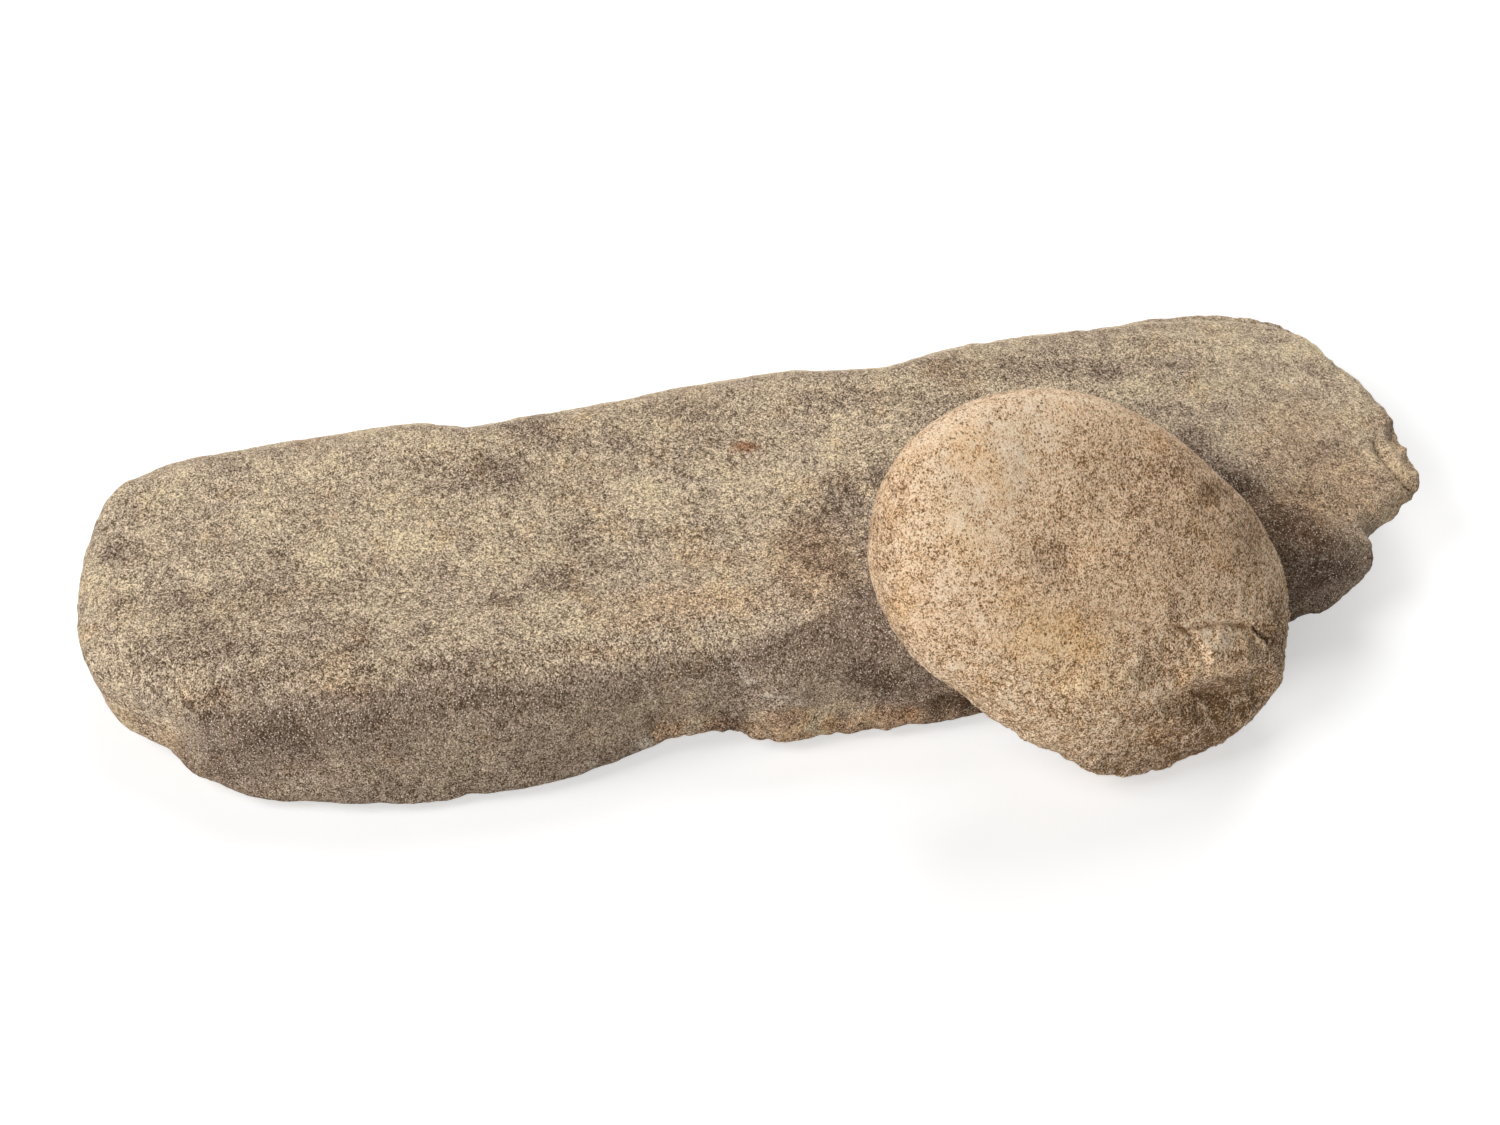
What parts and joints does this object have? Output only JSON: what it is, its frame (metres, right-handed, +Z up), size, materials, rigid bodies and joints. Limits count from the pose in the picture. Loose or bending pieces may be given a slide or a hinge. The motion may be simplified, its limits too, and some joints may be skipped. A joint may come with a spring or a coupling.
{
  "type": "metate grinding stone",
  "caption": "Long worn sandstone slab with a shallow grinding face, and a rounded hand stone that leans on its front edge.",
  "frame": {"origin": "middle of the slab's flat resting face, on the ground", "axes": "+X along the slab towards its broken end, +Y away from the hand stone, +Z up from the ground"},
  "size_m": [0.4386, 0.189, 0.1197],
  "materials": {
    "slab_sandstone": "matt, rough sandstone",
    "hand_sandstone": "matt, rough sandstone"
  },
  "bodies": {
    "slab": {"grinding_slab": "slab_sandstone"},
    "mano": {"hand_stone": "hand_sandstone"}
  },
  "joints": [
    {"name": "hand_stone_lift", "type": "slide", "parent": "slab", "child": "mano", "axis": [0, 0, 1], "range_m": [0, 0.15]}
  ]
}
